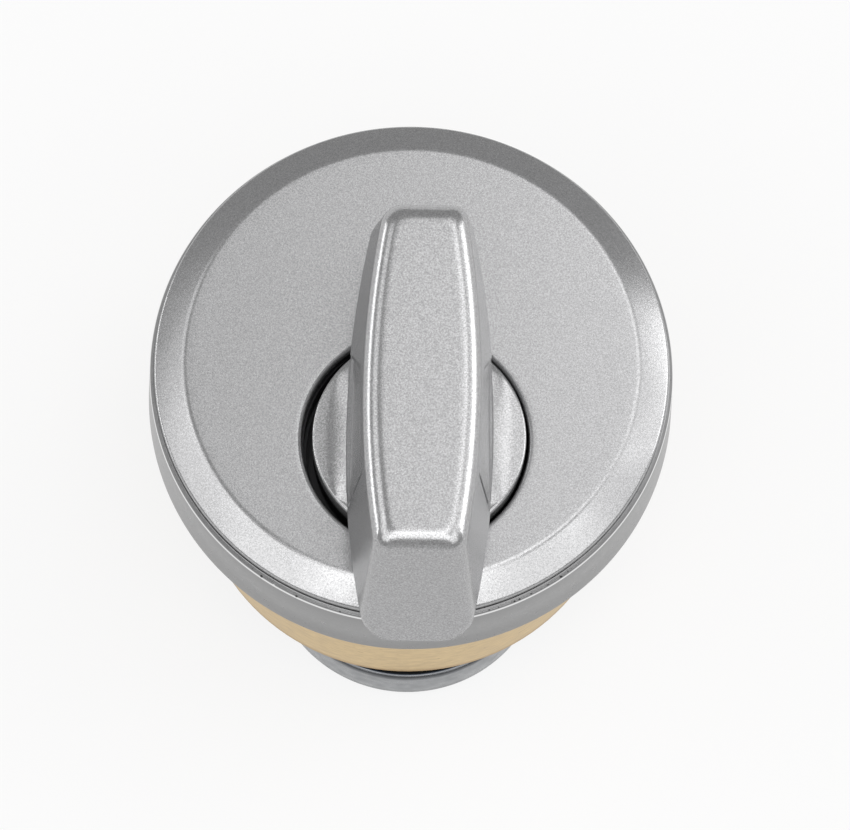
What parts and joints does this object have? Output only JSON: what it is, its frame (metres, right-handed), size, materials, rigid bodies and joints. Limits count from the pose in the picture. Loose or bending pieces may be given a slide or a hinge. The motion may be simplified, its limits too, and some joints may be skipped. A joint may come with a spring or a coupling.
{
  "type": "thumb turn",
  "caption": "Thumb turn for a lock: a tall tapered lever on a round disc, off centre in a bevelled round head, on a smooth brass barrel with a cam at its back.",
  "frame": {"origin": "on the barrel axis, in the plane of the head's back face, which seats on the door or its trim", "axes": "+Z out of the face along the barrel axis; the lever lies along Y at rest; the turn's axis is off centre towards -Y and a little towards +X"},
  "size_m": [0.0348, 0.037, 0.0415],
  "materials": {
    "turn_casting": "zinc casting, fine satin silver",
    "cap_satin": "fine-grained satin silver",
    "ring_satin": "smooth satin, a little darker",
    "barrel_brass": "turned, unpolished",
    "plug_brass": "turned",
    "spring_steel": "bright spring steel",
    "seal_rubber": "black rubber",
    "cam_steel": "bluish grey plated steel",
    "screw_steel": "bright plated steel"
  },
  "bodies": {
    "cylinder": {"cylinder_body": "barrel_brass", "head_ring": "ring_satin", "face_cap": "cap_satin", "spring_washer": "spring_steel", "thrust_washer": "spring_steel"},
    "turn": {"thumb_turn": "turn_casting", "plug": "plug_brass", "turn_pin": "spring_steel", "seal_ring": "seal_rubber", "retaining_clip": "spring_steel", "cam": "cam_steel", "cam_screw_left": "screw_steel", "cam_screw_right": "screw_steel"}
  },
  "joints": [
    {"name": "turn_rotation", "type": "hinge", "parent": "cylinder", "child": "turn", "pos_m": [0.00055, -0.00535, 0], "axis": [0, 0, 1], "continuous": true}
  ]
}
